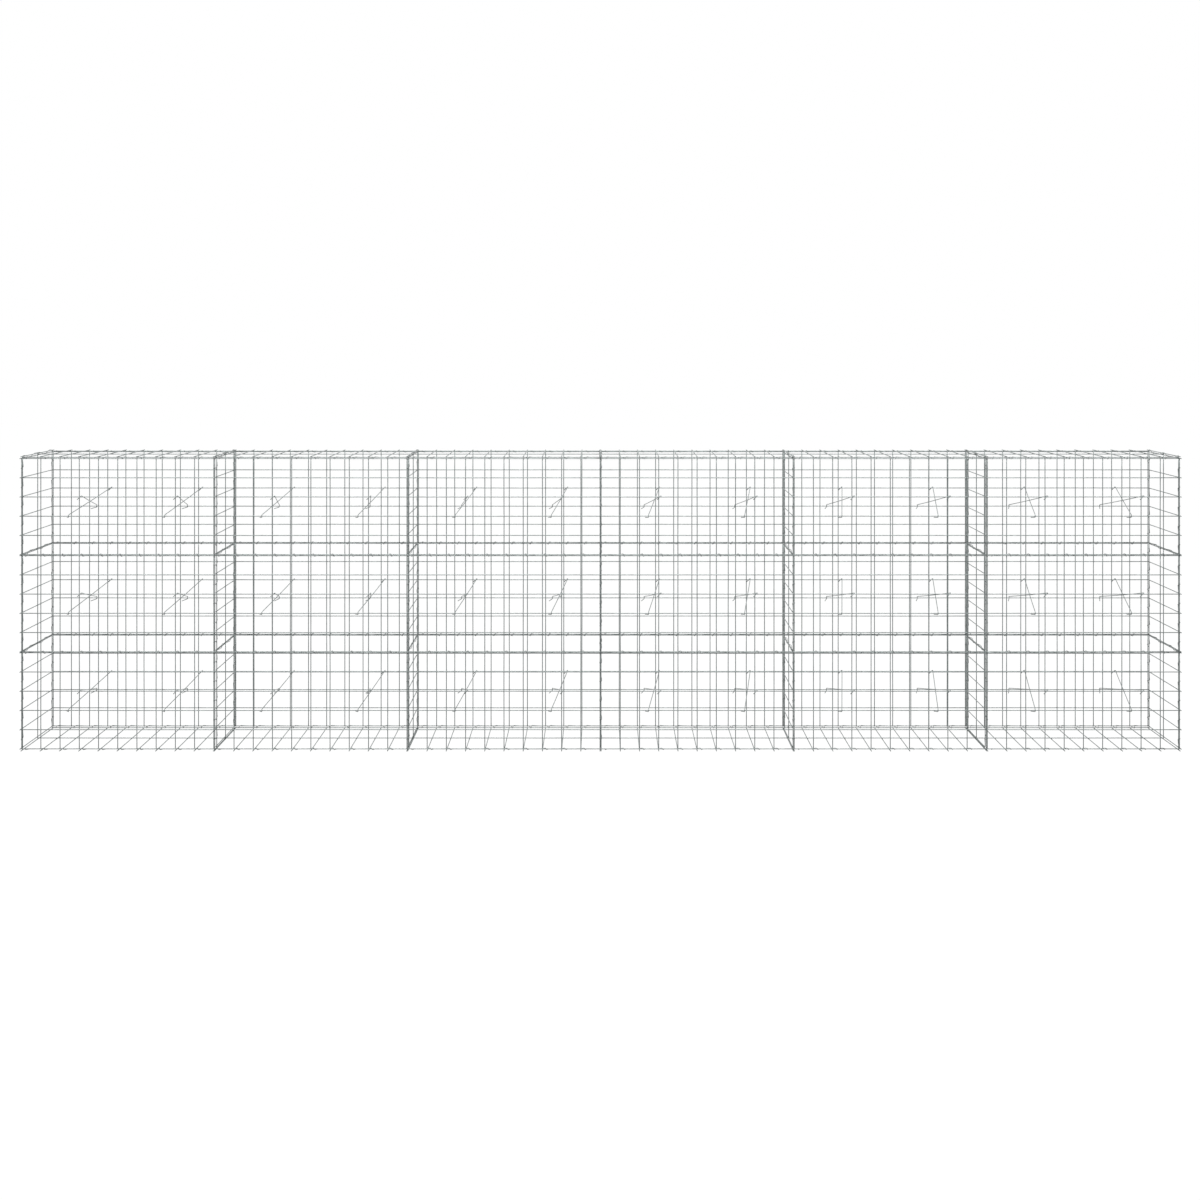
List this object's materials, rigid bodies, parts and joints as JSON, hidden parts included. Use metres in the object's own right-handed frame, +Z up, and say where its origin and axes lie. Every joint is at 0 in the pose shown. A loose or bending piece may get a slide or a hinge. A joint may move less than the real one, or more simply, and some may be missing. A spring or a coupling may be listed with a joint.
{
  "type": "gabion wall",
  "caption": "Empty gabion wall of welded galvanised wire mesh, tiered baskets in bays with partitions, covers and hooked cross ties, ready for stone fill.",
  "frame": {"origin": "middle of the wall's length and depth, on the ground", "axes": "+X along the wall, to the right as seen from the front; +Y from the front to the back; +Z up"},
  "size_m": [6.0416, 0.516, 1.5339],
  "materials": {
    "mesh_wire": "galvanised, matt",
    "tie_wire": "galvanised, satin"
  },
  "bodies": {
    "root": {"front_mesh_bay_1": "mesh_wire", "front_mesh_bay_2": "mesh_wire", "front_mesh_bay_3": "mesh_wire", "front_mesh_bay_4": "mesh_wire", "front_mesh_bay_5": "mesh_wire", "front_mesh_bay_6": "mesh_wire", "back_mesh_bay_1": "mesh_wire", "back_mesh_bay_2": "mesh_wire", "back_mesh_bay_3": "mesh_wire", "back_mesh_bay_4": "mesh_wire", "back_mesh_bay_5": "mesh_wire", "back_mesh_bay_6": "mesh_wire", "bottom_mesh_bay_1": "mesh_wire", "bottom_mesh_bay_2": "mesh_wire", "bottom_mesh_bay_3": "mesh_wire", "bottom_mesh_bay_4": "mesh_wire", "bottom_mesh_bay_5": "mesh_wire", "bottom_mesh_bay_6": "mesh_wire", "cover_bay_1": "mesh_wire", "cover_bay_2": "mesh_wire", "cover_bay_3": "mesh_wire", "cover_bay_4": "mesh_wire", "cover_bay_5": "mesh_wire", "cover_bay_6": "mesh_wire", "left_end_mesh": "mesh_wire", "partition_1": "mesh_wire", "partition_2": "mesh_wire", "partition_3": "mesh_wire", "partition_4": "mesh_wire", "partition_5": "mesh_wire", "right_end_mesh": "mesh_wire", "cross_ties_bay_1": "tie_wire", "cross_ties_bay_2": "tie_wire", "cross_ties_bay_3": "tie_wire", "cross_ties_bay_4": "tie_wire", "cross_ties_bay_5": "tie_wire", "cross_ties_bay_6": "tie_wire"}
  },
  "joints": []
}
